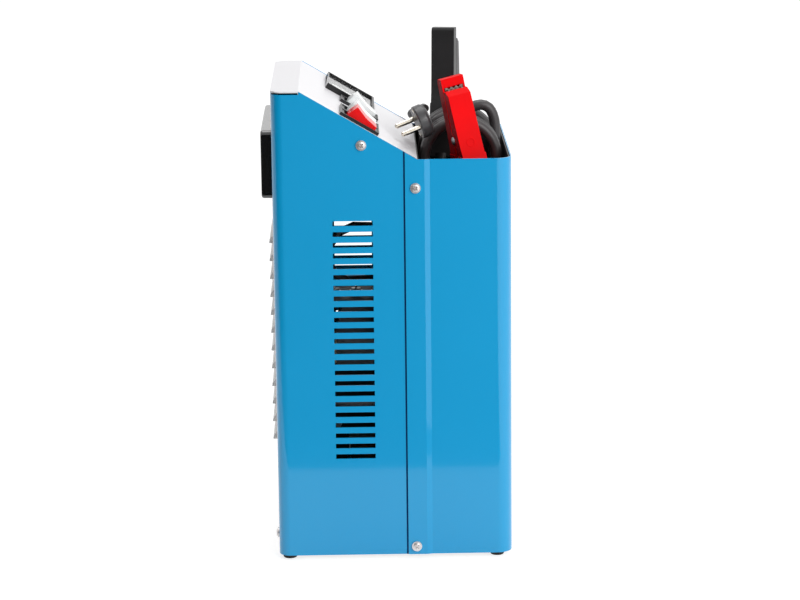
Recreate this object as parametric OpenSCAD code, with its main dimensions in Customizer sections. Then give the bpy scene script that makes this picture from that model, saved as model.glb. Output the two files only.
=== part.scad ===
// Upright battery charger with a jump-start range: a folded steel case with a
// sloping control panel, side slots, rear louvres and a cable bin at the front.
// The front of the case is +X, its left side is -Y, and it stands on z = 0.

/* [Case] */
// Depth from the back plane to the front face
depth = 218; // [212:1:230]
// Width across the side panels
width = 200; // [196:1:220]
// Height of the flat top above the case's lower edge
height = 437; // [430:1:450]
// Height of the cable bin's rim above the case's lower edge
rim_height = 374; // [368:1:380]
// Length of the flat top behind the control slope
flat_length = 25.8; // [22:0.2:30]
// Distance from the back plane to the foot of the control slope
slope_end = 132.2; // [128:0.2:136]
// Thickness of the sheet steel
sheet = 1.2; // [1:0.1:1.5]
// Outer radius of the side panels' rear folds
rear_radius = 11; // [8:0.5:13]
// Width of the side panels' rear flanges
rear_flange = 10; // [8:0.5:11]
// Depth of the control slope below the side panels' edges
panel_recess = 0.3; // [0.2:0.1:1.5]
// Depth of the top panel's side flanges
panel_flange = 38; // [34:1:44]
// Height of the base pan's flanges
pan_flange = 28; // [24:1:34]

/* [Side slots] */
// Number of slots in each side
slot_count = 23; // [10:1:23]
// Distance from one slot to the next
slot_pitch = 10; // [8:0.1:10.4]
// Length of a slot
slot_length = 36.6; // [25:0.1:42]
// Height of a slot
slot_height = 4.4; // [3:0.1:6]
// Distance from the back plane to a slot
slot_inset = 54.5; // [48:0.5:58]
// Height of the first slot above the case's lower edge
slot_top = 315.6; // [300:0.2:320]

/* [Front shell] */
// Distance from the back plane to the shell's seam
seam = 120.8; // [116:0.2:124]
// Width of the shell's side flange, up to its joggle
shell_flange = 17.6; // [15:0.2:19]
// Length of the joggle
joggle = 5; // [3:0.5:7]
// Outer radius of the front corners
front_radius = 14; // [8:0.5:18]

/* [Cable bin] */
// Height of the bin's floor above the case's lower edge
bin_floor = 232; // [225:1:232]
// Gap round the bin's walls
bin_gap = 0.3; // [0.2:0.1:0.5]
// Depth of the bin's rim below the shell's
bin_drop = 1; // [0.5:0.5:3]

/* [Louvres] */
// Number of louvres
louvre_count = 12; // [6:1:12]
// Distance from one louvre to the next
louvre_pitch = 17.1; // [14:0.1:17.5]
// Length of a louvre
louvre_length = 110; // [60:1:130]
// Height of a louvre
louvre_height = 8; // [6:0.5:10]
// How far a louvre stands out of the rear panel
louvre_out = 6; // [4:0.5:7]
// Distance of the top louvre's lower edge below the flat top
louvre_drop = 148; // [145:1:152]

/* [Rear grip] */
// Length of the grip
grip_length = 156; // [140:1:157]
// Height of the grip
grip_height = 63; // [56:1:66]
// How far the grip stands out behind the case
grip_out = 10; // [8:0.5:12]
// Distance of the grip's upper edge below the flat top
grip_drop = 39; // [35:1:43]
// Length of the finger pocket
pocket_length = 116; // [100:1:120]
// Height of the finger pocket's mouth
pocket_height = 36; // [30:1:38]
// Depth of the finger pocket behind the back plane
pocket_depth = 26; // [20:1:32]
// How far the pocket reaches up behind its lip
pocket_hook = 9; // [5:0.5:10]
// Wall of the pocket
pocket_wall = 2.4; // [2:0.1:3]

/* [Feet] */
// Height of a foot
foot_height = 4; // [3:0.5:8]
// Radius of a foot
foot_radius = 7; // [6:0.5:8]
// Distance of a foot's centre from the case's sides and ends
foot_inset = 10; // [9:0.5:14]

/* [Screws] */
// Radius of the case screws' shanks
screw_radius = 2.5; // [2:0.1:2.6]
// Radius of the case screws' heads
head_radius = 4.75; // [4.4:0.05:5.2]
// Height of the case screws' heads
head_height = 2.8; // [2:0.1:3.4]

/* [Ammeter] */
// Length of the ammeter along the slope
meter_length = 50.5; // [48:0.5:52]
// Width of the ammeter
meter_width = 73.5; // [66:0.5:74]
// Height of the ammeter's rim above the panel
meter_rise = 5.3; // [4.5:0.1:7]
// Wall of the ammeter's rim
meter_wall = 2.4; // [2:0.1:3]
// Length of the needle from its spindle
needle_length = 28; // [24:0.5:29]
// Needle's swing from rest to full scale
needle_swing = 80; // [60:1:90]

/* [Switches] */
// Length of a switch bezel along the slope
bezel_length = 40; // [37:0.5:42]
// Width of a switch bezel
bezel_width = 25; // [24:0.1:25]
// Height of a switch bezel above the panel
bezel_rise = 3; // [2.4:0.1:3.4]
// Width of a rocker
rocker_width = 20; // [16:0.5:20.4]
// Half the length of a rocker's face
rocker_half = 12.8; // [11:0.1:13.2]
// Tilt of a rocker to either side
rocker_tilt = 18; // [8:0.5:19]

/* [Transformer] */
// Length of the laminated core
core_length = 126; // [110:1:130]
// Height of the laminated core
core_height = 105; // [96:1:112]
// Thickness of the stack of laminations
core_stack = 60; // [50:1:66]
// Half width of a winding across the stack
winding_reach = 50; // [46:1:52]

/* [Rectifier] */
// Length of the heat sink
sink_length = 86; // [80:1:87]
// Width of the heat sink
sink_width = 57; // [50:1:60]
// Height of the heat sink's fins
sink_fin = 32; // [16:1:40]
// Number of fins
sink_fins = 7; // [5:1:9]

/* [Leads] */
// Diameter of the mains cord
cord_d = 7; // [6:0.1:7]
// Diameter of the two charging leads
lead_d = 10; // [9:0.1:10]

/* [Clamps] */
// Width of a clamp
clamp_width = 22; // [20:0.2:23]
// Length of a clamp's longer jaw from the rivet
jaw_length = 57.5; // [52:0.5:60]
// How far the other jaw stays behind it
jaw_step = 8; // [6:0.5:10]
// Height of the lip over the longer jaw's teeth
jaw_lip = 8; // [6:0.5:9]
// Length of a clamp's handles from the rivet
handle_length = 66; // [60:1:68]
// Wall of a clamp's shells
clamp_wall = 1.8; // [1.4:0.1:2]
// Slant of a handle from the clamp's middle
handle_slant = 13; // [12.5:0.1:14]

/* [Hidden] */
$fn = 64;

// Planes of the case
x_back = -(depth + grip_out) / 2 + grip_out;
x_front = x_back + depth;
x_flat = x_back + flat_length;
x_slope = x_back + slope_end;
x_seam = x_back + seam;
x_joggle = x_seam + shell_flange;
y_side = width / 2;
z_base = foot_height;
z_top = z_base + height;
z_rim = z_base + rim_height;
slope = atan((height - rim_height) / (slope_end - flat_length));
slope_length = (slope_end - flat_length) / cos(slope);
x_inner_back = x_back + 2 * sheet;
y_inner = y_side - sheet;
eps = 0.01;
press = 0.05;

blue = [0.12, 0.60, 0.80];
white = [0.95, 0.95, 0.96];
zinc = [0.72, 0.74, 0.76];
black = [0.09, 0.09, 0.10];
chrome = [0.80, 0.81, 0.83];
brass = [0.80, 0.68, 0.40];
copper = [0.78, 0.44, 0.26];
red = [0.86, 0.07, 0.08];
rubber = [0.07, 0.07, 0.07];
jacket = [0.16, 0.15, 0.15];

// Extrudes an outline drawn in x and z from y0 to y1
module along_y(y0, y1) {
    translate([0, y1, 0]) rotate([90, 0, 0]) linear_extrude(y1 - y0) children();
}

// Extrudes an outline drawn in y and z from x0 to x1
module along_x(x0, x1) {
    translate([x0, 0, 0]) rotate([90, 0, 90]) linear_extrude(x1 - x0) children();
}

// A rectangle with rounded corners, with its own radius at the rear and at the front
module plate(x0, x1, y, rear_r, front_r) {
    square_from(x0 + rear_r, x1 - front_r, -y, y);
    square_from(x0, x1 - front_r, -y + rear_r, y - rear_r);
    square_from(x0 + rear_r, x1, -y + front_r, y - front_r);
    for (s = [-1, 1]) {
        translate([x0 + rear_r, s * (y - rear_r)]) circle(rear_r);
        translate([x1 - front_r, s * (y - front_r)]) circle(front_r);
    }
}

module square_from(x0, x1, y0, y1) {
    translate([x0, y0]) square([x1 - x0, y1 - y0]);
}

module box(low, high) {
    translate(low) cube(high - low);
}

// The frame of the control slope: x runs down it and z stands out of it, from
// the side panels' upper edges
module on_slope() {
    translate([x_flat, 0, z_top]) rotate([0, slope, 0]) children();
}

// The case seen from the side, up to x1
module side_outline(x1) {
    polygon([[x_back, z_base], [x1, z_base], [x1, z_rim], [x_slope, z_rim], [x_flat, z_top],
        [x_back, z_top]]);
}

// A screw's place on the left side: x, and z
side_screws = [[x_back + 81.4, slope_z(x_back + 81.4, 0) - 16.6], [x_seam + 9.4, z_rim - 26.2], [x_seam + 7.8, z_base + 8]];
side_screw_long = 4.6;
rear_screw_y = y_side - rear_radius - rear_flange / 2;
rear_screw_z = z_base + 18;
hole_radius = screw_radius + 0.25;

module side_holes(y0, y1, first = 0) {
    for (i = [first:2], s = [-1, 1])
        translate([side_screws[i][0], s * (y0 + y1) / 2, side_screws[i][1]]) rotate([90, 0, 0])
            cylinder(h = y1 - y0 + 2, r = hole_radius, center = true);
}

module threaded_holes(y0, y1, first, last) {
    for (i = [first:last], s = [-1, 1])
        translate([side_screws[i][0], s * (y0 + y1) / 2, side_screws[i][1]]) rotate([90, 0, 0])
            cylinder(h = y1 - y0 + 2, r = screw_radius + press, center = true);
}

// The side panel's plan: side, rear fold and rear flange
module side_plan() {
    square_from(x_back + rear_radius, x_joggle - 0.4, -y_side, -y_side + sheet);
    square_from(x_back, x_back + sheet, -y_side + rear_radius, -y_side + rear_radius + rear_flange);
    translate([x_back + rear_radius, -y_side + rear_radius]) intersection() {
        difference() {
            circle(rear_radius);
            circle(rear_radius - sheet);
        }
        translate([-rear_radius, -rear_radius]) square(rear_radius);
    }
}

// The gap between the flat top and the side panels' edges below it
top_reveal = 1.6;

module left_side() {
    difference() {
        intersection() {
            translate([0, 0, z_base]) linear_extrude(height) side_plan();
            along_y(-y_side - 1, 0) side_outline(x_joggle);
        }
        box([x_back - 1, -y_side - 1, z_top - sheet - top_reveal], [x_flat, 0, z_top + 1]);
        for (i = [0:slot_count - 1])
            translate([x_back + slot_inset, -y_side - 1, z_base + slot_top - i * slot_pitch - slot_height / 2])
                cube([slot_length, sheet + 2, slot_height]);
        side_holes(y_inner, y_side);
        translate([x_back, -rear_screw_y, rear_screw_z]) rotate([0, 90, 0])
            cylinder(h = 3 * sheet, r = hole_radius, center = true);
    }
}

module side_panel_left() {
    color(blue) left_side();
}

module side_panel_right() {
    color(blue) mirror([0, 1, 0]) left_side();
}

// Half of the shell's plan: flange over the side panel, joggle, side and front corner
module shell_plan() {
    polygon([[x_seam, -y_side - sheet], [x_joggle, -y_side - sheet], [x_joggle + joggle, -y_side],
        [x_front - front_radius, -y_side], [x_front - front_radius, -y_inner],
        [x_joggle + joggle, -y_inner], [x_joggle, -y_side], [x_seam, -y_side]]);
    translate([x_front - front_radius, -y_side + front_radius]) intersection() {
        difference() {
            circle(front_radius);
            circle(front_radius - sheet);
        }
        translate([0, -front_radius]) square(front_radius);
    }
    square_from(x_front - sheet, x_front, -y_side + front_radius, 0);
}

module front_shell() {
    color(blue) difference() {
        intersection() {
            translate([0, 0, z_base]) linear_extrude(height) union() {
                shell_plan();
                mirror([0, 1]) shell_plan();
            }
            along_y(-y_side - 5, y_side + 5) side_outline(x_front + 1);
        }
        side_holes(y_inner, y_side + sheet, 1);
    }
}

module base_pan() {
    x_pan = x_front - sheet;
    color(white) difference() {
        translate([0, 0, z_base]) linear_extrude(pan_flange)
            plate(x_inner_back, x_pan, y_inner, rear_radius, front_radius - sheet);
        translate([0, 0, z_base + sheet]) linear_extrude(pan_flange)
            plate(x_inner_back + sheet, x_pan - sheet, y_inner - sheet, rear_radius - sheet,
                front_radius - 2 * sheet);
        for (x = foot_x, y = foot_y) translate([x, y, z_base - 1]) cylinder(h = sheet + 2, r = foot_screw_r + 0.2);
        for (i = [0:7]) box([x_back + 30 + 20 * i, -60, z_base - 1], [x_back + 36 + 20 * i, -20, z_base + 3]);
        for (i = [0:7]) box([x_back + 30 + 20 * i, 20, z_base - 1], [x_back + 36 + 20 * i, 60, z_base + 3]);
        threaded_holes(y_inner - sheet, y_inner, 2, 2);
        for (s = [-1, 1]) translate([x_inner_back, s * rear_screw_y, rear_screw_z]) rotate([0, 90, 0])
            cylinder(h = 3 * sheet, r = screw_radius + press, center = true);
    }
}

// Top panel: the flat top laps over the sides, the slope lies between them and
// a lip turns down into the cable bin
x_bend = x_flat - panel_recess / sin(slope);
x_bend_in = x_flat + (sheet * cos(slope) - panel_recess - sheet) / sin(slope);
function slope_z(x, n) = z_top + (n - (x - x_flat) * sin(slope)) / cos(slope);
lip_z = z_rim - 22;
flange_z = z_rim - 34;

module top_sheet() {
    polygon([[x_back, z_top], [x_bend, z_top], [x_slope, slope_z(x_slope, -panel_recess)],
        [x_slope, lip_z], [x_slope - sheet, lip_z],
        [x_slope - sheet, slope_z(x_slope - sheet, -panel_recess - sheet)],
        [x_bend_in, z_top - sheet], [x_back, z_top - sheet]]);
}

module top_flange() {
    polygon([[x_bend_in, z_top - sheet], [x_slope - sheet, slope_z(x_slope - sheet, -panel_recess - sheet)],
        [x_slope - sheet, lip_z], [x_slope + sheet, lip_z], [x_slope + sheet, flange_z], [x_seam, flange_z],
        [x_bend_in, z_top - panel_flange]]);
}

module top_panel() {
    color(white) difference() {
        union() {
            along_y(-y_inner, y_inner) intersection() {
                top_sheet();
                square_from(x_back + rear_radius, x_slope, 0, z_top);
            }
            translate([0, 0, z_top - sheet]) linear_extrude(sheet)
                intersection() {
                    plate(x_back, x_front, y_side, rear_radius, front_radius);
                    square_from(x_back, x_bend, -y_side, y_side);
                }
            for (s = [-1, 1]) along_y(min(s * y_inner, s * (y_inner - sheet)), max(s * y_inner, s * (y_inner - sheet)))
                top_flange();
        }
        on_slope() {
            translate([0, 0, -10]) linear_extrude(20) {
                square_from(meter_u + barrel_inset - 0.3, meter_u + meter_length - barrel_inset + 0.3,
                    meter_y + barrel_inset - 0.3, meter_y + meter_width - barrel_inset + 0.3);
                for (y = switch_y)
                    square_from(switch_u - body_half - 0.2, switch_u + body_half + 0.2, y - body_side - 0.2,
                        y + body_side + 0.2);
            }
        }
        threaded_holes(y_inner - sheet, y_inner, 0, 1);
    }
}

// Rear panel with its pressed louvres and the opening for the grip
louvre_rise = louvre_out - sheet;
louvre_r = (louvre_height * louvre_height + louvre_out * louvre_out) / (2 * louvre_out);
y_rear = y_side - rear_radius;
x_rear = x_back + sheet;

module louvre_outline(r) {
    intersection() {
        translate([x_rear - louvre_out + louvre_r, 0]) circle(r);
        square_from(x_rear - louvre_out, x_rear + eps, 0, louvre_height);
    }
}

module rear_panel() {
    z_high = z_top - sheet - 0.3;
    color(white) {
        difference() {
            union() {
                box([x_rear, -y_rear, z_base], [x_rear + sheet, y_rear, z_high]);
                for (i = [0:louvre_count - 1]) translate([0, 0, z_top - louvre_drop - i * louvre_pitch])
                    along_y(-louvre_length / 2, louvre_length / 2) louvre_outline(louvre_r);
            }
            for (i = [0:louvre_count - 1]) translate([0, 0, z_top - louvre_drop - i * louvre_pitch])
                along_y(-louvre_length / 2 + sheet, louvre_length / 2 - sheet) {
                    translate([0, -eps]) intersection() {
                        translate([x_rear - louvre_out + louvre_r, 0]) circle(louvre_r - sheet);
                        square_from(x_rear - louvre_out, x_rear + 0.2, 0, louvre_height);
                    }
                    square_from(x_rear - 0.2, x_rear + sheet + 1, 0, louvre_height - 3);
                }
            box([x_rear - 1, -pocket_length / 2 - pocket_wall - 0.5, pocket_z - pocket_wall - 0.5],
                [x_rear + 3, pocket_length / 2 + pocket_wall + 0.5, pocket_z + pocket_height + pocket_hook + pocket_wall + 0.5]);
            for (s = [-1, 1]) {
                translate([x_rear, s * rear_screw_y, rear_screw_z]) rotate([0, 90, 0])
                    cylinder(h = 4 * sheet, r = hole_radius, center = true);
                translate([x_rear, s * grip_screw_y, grip_mid]) rotate([0, 90, 0])
                    cylinder(h = 4 * sheet, r = grip_screw_r + press, center = true);
            }
        }
    }
}

// Rear grip: a moulded block with a finger pocket that hooks up behind its lip
grip_z = z_top - grip_drop - grip_height;
grip_mid = grip_z + grip_height / 2;
pocket_z = grip_z + (grip_height - pocket_height) / 2 - 4;
grip_screw_y = (grip_length + pocket_length) / 4 + 1;
grip_screw_r = 2;
grip_corner = 5;
grip_edge = 1.5;

module grip_face(inset) {
    y1 = grip_length / 2 - inset;
    r = grip_corner - inset;
    z0 = grip_z + inset;
    z1 = z_top - grip_drop - inset;
    square_from(-y1 + r, y1 - r, z0, z1);
    square_from(-y1, y1, z0 + r, z1 - r);
    for (y = [-y1 + r, y1 - r], z = [z0 + r, z1 - r]) translate([y, z]) circle(r);
}

module rear_grip() {
    x_out = x_back - grip_out;
    x_deep = x_back + pocket_depth;
    color(black) difference() {
        union() {
            along_x(x_out + grip_edge, x_rear) grip_face(0);
            along_x(x_out + grip_edge / 3, x_rear) grip_face(grip_edge / 3);
            along_x(x_out, x_rear) grip_face(grip_edge);
            box([x_rear - eps, -pocket_length / 2 - pocket_wall, pocket_z - pocket_wall],
                [x_deep + pocket_wall, pocket_length / 2 + pocket_wall, pocket_z + pocket_height + pocket_hook + pocket_wall]);
        }
        box([x_out - 1, -pocket_length / 2, pocket_z], [x_deep, pocket_length / 2, pocket_z + pocket_height]);
        box([x_out + 6, -pocket_length / 2, pocket_z + 1], [x_deep, pocket_length / 2, pocket_z + pocket_height + pocket_hook]);
        for (s = [-1, 1]) translate([0, s * grip_screw_y, grip_mid]) rotate([0, 90, 0]) {
            translate([0, 0, x_out - 1]) cylinder(h = 4.6, r = 4.2);
            translate([0, 0, x_out]) cylinder(h = grip_out + 3, r = grip_screw_r + 0.2);
        }
    }
}

// A pan-head screw that points down -z, with its head on z = 0
module pan_screw(r, head_r, head_h, long) {
    difference() {
        union() {
            translate([0, 0, -long]) cylinder(h = long + eps, r = r);
            cylinder(h = head_h * 0.55, r = head_r);
            translate([0, 0, head_h * 0.55 - eps]) intersection() {
                cylinder(h = head_h * 0.45 + eps, r = head_r);
                translate([0, 0, head_h * 0.45 - head_r * 1.6]) sphere(head_r * 1.6);
            }
        }
        for (a = [0, 90]) rotate([0, 0, a + 45]) translate([-head_r * 0.5, -0.5, head_h * 0.45]) cube([head_r, 1, head_h]);
    }
}

module case_screws() {
    color(chrome) {
        for (i = [0:2], s = [-1, 1]) {
            y_head = i == 0 ? y_side : y_side + sheet;
            translate([side_screws[i][0], s * y_head, side_screws[i][1]]) rotate([-s * 90, 0, 0])
                pan_screw(screw_radius, head_radius, head_height, side_screw_long);
        }
        for (s = [-1, 1]) translate([x_back, s * rear_screw_y, rear_screw_z]) rotate([0, -90, 0])
            pan_screw(screw_radius, head_radius, head_height, 10);
    }
}

module grip_screws() {
    color(chrome) for (s = [-1, 1]) translate([x_back - grip_out + 3.6, s * grip_screw_y, grip_mid]) rotate([0, -90, 0])
        pan_screw(grip_screw_r, 3.8, 2.4, 14);
}

// Feet with a recess for their screws
foot_x = [x_back + foot_inset, x_front - foot_inset - 4];
foot_y = [-y_side + foot_inset, y_side - foot_inset];
foot_screw_r = 2;

module foot(x, y) {
    color(rubber) translate([x, y, 0]) difference() {
        rotate_extrude() polygon([[0, 0], [foot_radius - 1.4, 0], [foot_radius - 0.7, 0.4], [foot_radius, foot_height - 0.8],
            [foot_radius, foot_height], [0, foot_height]]);
        translate([0, 0, -1]) cylinder(h = foot_height, r = 4.1);
        translate([0, 0, -1]) cylinder(h = foot_height + 2, r = foot_screw_r + 0.2);
    }
}

module foot_screws() {
    color(chrome) for (x = foot_x, y = foot_y) translate([x, y, foot_height - 1]) {
        rotate([180, 0, 0]) pan_screw(foot_screw_r, 3.8, 1.8, 9);
        translate([0, 0, 1 + sheet]) cylinder(h = 3.2, r = 4, $fn = 6);
    }
}

// Cable bin: a folded tray with walls on all four sides
x_bin = x_slope;
x_bin_front = x_front - sheet - bin_gap;
y_bin = y_inner - bin_gap;
z_bin = z_base + bin_floor;
bin_corner = 4;
bush_z = z_bin + 16;
red_bush_y = -0.9;
black_bush_y = 10.3;
mains_bush_y = 89.5;
bush_neck = 5.4;
mains_neck = 4.9;
sleeve = 22;
lead_sleeve = 8;

module cable_bin() {
    z_high = z_rim - bin_drop;
    color(black) difference() {
        translate([0, 0, z_bin]) linear_extrude(z_high - z_bin)
            plate(x_bin, x_bin_front, y_bin, bin_corner, front_radius - sheet - bin_gap);
        translate([0, 0, z_bin + sheet]) linear_extrude(z_high)
            plate(x_bin + sheet, x_bin_front - sheet, y_bin - sheet, bin_corner - sheet, front_radius - 2 * sheet - bin_gap);
        for (y = [red_bush_y, black_bush_y]) translate([x_bin, y, bush_z]) rotate([0, 90, 0])
            cylinder(h = 4 * sheet, r = bush_neck, center = true);
        translate([x_bin, mains_bush_y, bush_z]) rotate([0, 90, 0])
            cylinder(h = 4 * sheet, r = mains_neck, center = true);
    }
}

// Bushes in the bin's back wall: collar, neck, nut side and a tapered sleeve
module bush(y, bore, neck, long) {
    translate([x_bin, y, bush_z]) rotate([0, 90, 0]) difference() {
        rotate_extrude() polygon([[0, -5], [neck + 0.1, -5], [neck + 0.1, -1.2], [neck - press, -1.2], [neck - press, sheet],
            [neck + 0.1, sheet], [neck + 0.1, sheet + 2.5], [bore + 1.3, sheet + 3.5], [bore + 0.8, long],
            [0, long]]);
        translate([0, 0, -6]) cylinder(h = long + 7, r = bore);
    }
}

module mains_bush() {
    color(rubber) bush(mains_bush_y, cord_d / 2 - 0.1, mains_neck, sleeve);
}

module lead_bushes() {
    color(rubber) {
        bush(red_bush_y, lead_d / 2 - 0.9, bush_neck, lead_sleeve);
        bush(black_bush_y, lead_d / 2 - 0.9, bush_neck, lead_sleeve);
    }
}

// Ammeter, in the frame of the slope. Its frame has walls on three sides, its
// window lies low between them, and the dial is below the panel.
meter_u = 27;
meter_y = 15;
panel_n = -panel_recess;
rim_n = panel_n + meter_rise;
barrel_inset = 4;
barrel_wall = 2;
barrel_depth = 30;
window_n = panel_n + 0.4;
window_t = 1.2;
window_end = 3;
dial_n = panel_n - 4.5;
dial_t = 1.2;
needle_n = dial_n + 1;
spindle_u = meter_u + meter_length - 13;
spindle_y = meter_y + meter_width / 2;
stud_places = [for (s = [-1, 1]) [meter_u + meter_length / 2 - 4, spindle_y + s * 16]];
stud_r = 2;

// A box in the meter's plan, in from its outer edges by a distance
module meter_box(inset, n0, n1) {
    box([meter_u + inset, meter_y + inset, n0], [meter_u + meter_length - inset, meter_y + meter_width - inset, n1]);
}

module meter_case() {
    color(black) on_slope() difference() {
        union() {
            meter_box(0, panel_n, rim_n);
            meter_box(barrel_inset, panel_n - barrel_depth, panel_n + eps);
        }
        box([meter_u - 1, meter_y + meter_wall, window_n],
            [meter_u + meter_length - meter_wall, meter_y + meter_width - meter_wall, rim_n + 1]);
        meter_box(barrel_inset + barrel_wall, panel_n - barrel_depth + barrel_wall, window_n + eps);
        for (p = stud_places) translate([p[0], p[1], panel_n - barrel_depth - 1]) cylinder(h = barrel_wall + 2, r = stud_r + press);
    }
}

module meter_dial() {
    color(white) on_slope() difference() {
        meter_box(barrel_inset + barrel_wall + 0.1, dial_n - dial_t, dial_n);
        translate([spindle_u, spindle_y, dial_n - dial_t - 1]) cylinder(h = dial_t + 2, r = 3);
    }
}

// The needle rests at the zero end of its scale, on the left for the user
module meter_needle() {
    color(black) on_slope() translate([spindle_u, spindle_y, needle_n]) rotate([0, 0, 180 + needle_swing / 2]) {
        cylinder(h = 1, r = 2.6);
        translate([0, 0, -8]) cylinder(h = 8.5, r = 0.8);
        translate([0, 0, 0.2]) linear_extrude(0.5)
            polygon([[-5, -1.2], [0, -1.6], [needle_length, -0.25], [needle_length, 0.25], [0, 1.6], [-5, 1.2]]);
    }
}

module meter_movement() {
    n_low = panel_n - barrel_depth + barrel_wall + 2;
    n_high = dial_n - dial_t;
    color(brass) on_slope() {
        difference() {
            box([spindle_u - 18, spindle_y - 20, n_low], [spindle_u + 6, spindle_y + 20, n_high]);
            translate([spindle_u, spindle_y, needle_n - 9]) cylinder(h = 20, r = 0.8 + press);
            translate([spindle_u, spindle_y, n_high - 2]) cylinder(h = 3, r = 2);
        }
        for (p = stud_places) translate([p[0], p[1], n_low - 18]) {
            cylinder(h = 18 + eps, r = stud_r);
            translate([0, 0, 18 - 6 - barrel_wall]) cylinder(h = 3.2, r = 4, $fn = 6);
        }
    }
}

module meter_lens() {
    y0 = meter_y + meter_wall + 0.1;
    y1 = meter_y + meter_width - meter_wall - 0.1;
    color([0.9, 0.95, 0.97, 0.35]) on_slope() {
        box([meter_u, y0, window_n], [meter_u + meter_length - meter_wall - 0.1, y1, window_n + window_t]);
        box([meter_u, y0, window_n], [meter_u + window_t, y1, window_n + window_end]);
    }
}

// Rocker switches, in the frame of the slope
switch_u = 62.5;
switch_y = [-81.5, -56.5, -4.5];
pivot_n = -2;
rocker_face = 12;
rocker_hollow = 1.2;
well_gap = 0.4;
well_half = 16;
body_half = 17.2;
body_side = rocker_width / 2 + well_gap + 1.2;
trunnion = 1.5;

module switch_body(y) {
    l = bezel_length / 2;
    w = bezel_width / 2;
    h = rocker_width / 2 + well_gap;
    n_top = panel_n + bezel_rise;
    color(black) on_slope() translate([switch_u, y, 0]) difference() {
        union() {
            box([-l, -w + press, panel_n], [l, w - press, n_top]);
            box([-body_half, -body_side, panel_n - 24], [body_half, body_side, panel_n + eps]);
        }
        box([-l + 1.5, -h, n_top - 0.7], [l - 1.5, h, n_top + 1]);
        box([-well_half, -h, pivot_n - 1], [well_half, h, n_top + 1]);
        translate([0, 0, pivot_n]) rotate([90, 0, 0]) cylinder(h = 2 * h, r = 15, center = true);
        translate([0, 0, pivot_n]) rotate([90, 0, 0])
            cylinder(h = 2 * body_side + 1, r = trunnion + press, center = true);
    }
}

module rocker(y, tint) {
    h = rocker_width / 2;
    color(tint) on_slope() translate([switch_u, y, pivot_n]) rotate([0, rocker_tilt, 0]) {
        along_y(-h, h)
            polygon([[-12, -4], [12, -4], [14.2, 2], [rocker_half, rocker_face], [0, rocker_face - rocker_hollow],
                [-rocker_half, rocker_face], [-14.2, 2]]);
        rotate([90, 0, 0]) cylinder(h = 2 * body_side - 0.4, r = trunnion, center = true);
    }
}

// Transformer on the base pan, with its middle this far behind the bin's back wall
core_back = 24.2;
core_x = x_slope - core_back;
core_z = z_base + sheet + 13;
leg = core_length / 3;
window = core_length / 6;
yoke = window;
window_h = core_height - 2 * yoke;
bolt_r = 2.5;

module core_bolt_places() {
    for (x = [-1, 1], z = [yoke / 2, core_height - yoke / 2])
        translate([core_x + x * (core_length / 2 - yoke / 2), 0, core_z + z]) rotate([90, 0, 0]) children();
}

module transformer_core() {
    color([0.35, 0.36, 0.38]) difference() {
        box([core_x - core_length / 2, -core_stack / 2, core_z], [core_x + core_length / 2, core_stack / 2, core_z + core_height]);
        for (s = [-1, 1]) translate([core_x + s * (leg / 2 + window / 2), 0, core_z + core_height / 2])
            cube([window, core_stack + 2, window_h], center = true);
        core_bolt_places() cylinder(h = core_stack + 2, r = bolt_r + 0.2, center = true);
    }
}

bobbin_wall = 1.8;
bobbin_gap = 0.3;
bobbin_h = window_h - 0.6;
coil_x = leg / 2 + window - 1;

module ring_plan(x, y, r) {
    square_from(core_x - x + r, core_x + x - r, -y, y);
    square_from(core_x - x, core_x + x, -y + r, y - r);
    for (sx = [-1, 1], sy = [-1, 1]) translate([core_x + sx * (x - r), sy * (y - r)]) circle(r);
}

module leg_hole(grow) {
    square_from(core_x - leg / 2 - grow, core_x + leg / 2 + grow, -core_stack / 2 - grow, core_stack / 2 + grow);
}

module transformer_bobbin() {
    z0 = core_z + yoke + 0.3;
    color(white) difference() {
        union() {
            translate([0, 0, z0]) linear_extrude(bobbin_h) leg_hole(bobbin_gap + bobbin_wall);
            for (z = [0, bobbin_h / 2 - 1, bobbin_h - 2]) translate([0, 0, z0 + z]) linear_extrude(2)
                ring_plan(coil_x + 0.5, winding_reach + 3, 3);
        }
        translate([0, 0, z0 - 1]) linear_extrude(bobbin_h + 2) leg_hole(bobbin_gap);
    }
}

module winding(z0, z1, inset) {
    translate([0, 0, z0]) linear_extrude(z1 - z0) difference() {
        ring_plan(coil_x - inset, winding_reach - inset, 12);
        leg_hole(bobbin_gap + bobbin_wall + press);
    }
}

module primary_winding() {
    z0 = core_z + yoke + 0.3;
    color([0.90, 0.78, 0.30]) winding(z0 + 2, z0 + bobbin_h / 2 - 1, 1);
}

// The secondary is a few turns of thick wire, with a groove between turns
secondary_turns = 6;

module secondary_winding() {
    z0 = core_z + yoke + 0.3 + bobbin_h / 2 + 1;
    rise = bobbin_h / 2 - 3;
    turn = rise / secondary_turns;
    color(copper) {
        winding(z0, z0 + rise, 2.2);
        for (i = [0:secondary_turns - 1]) winding(z0 + i * turn + 0.5, z0 + (i + 1) * turn - 0.5, 1);
    }
}

// Angles that clamp the core and stand on the base pan
module transformer_clamps() {
    z0 = z_base + sheet;
    color(zinc) for (s = [-1, 1]) mirror([0, s > 0 ? 1 : 0, 0]) difference() {
        along_x(core_x - core_length / 2 + 1, core_x + core_length / 2 - 1)
            polygon([[-core_stack / 2, z0], [-core_stack / 2, core_z + yoke - 3], [-core_stack / 2 - 2, core_z + yoke - 3],
                [-core_stack / 2 - 2, z0 + 2], [-core_stack / 2 - 18, z0 + 2], [-core_stack / 2 - 18, z0]]);
        core_bolt_places() cylinder(h = core_stack + 9, r = bolt_r + 0.2, center = true);
    }
}

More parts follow.
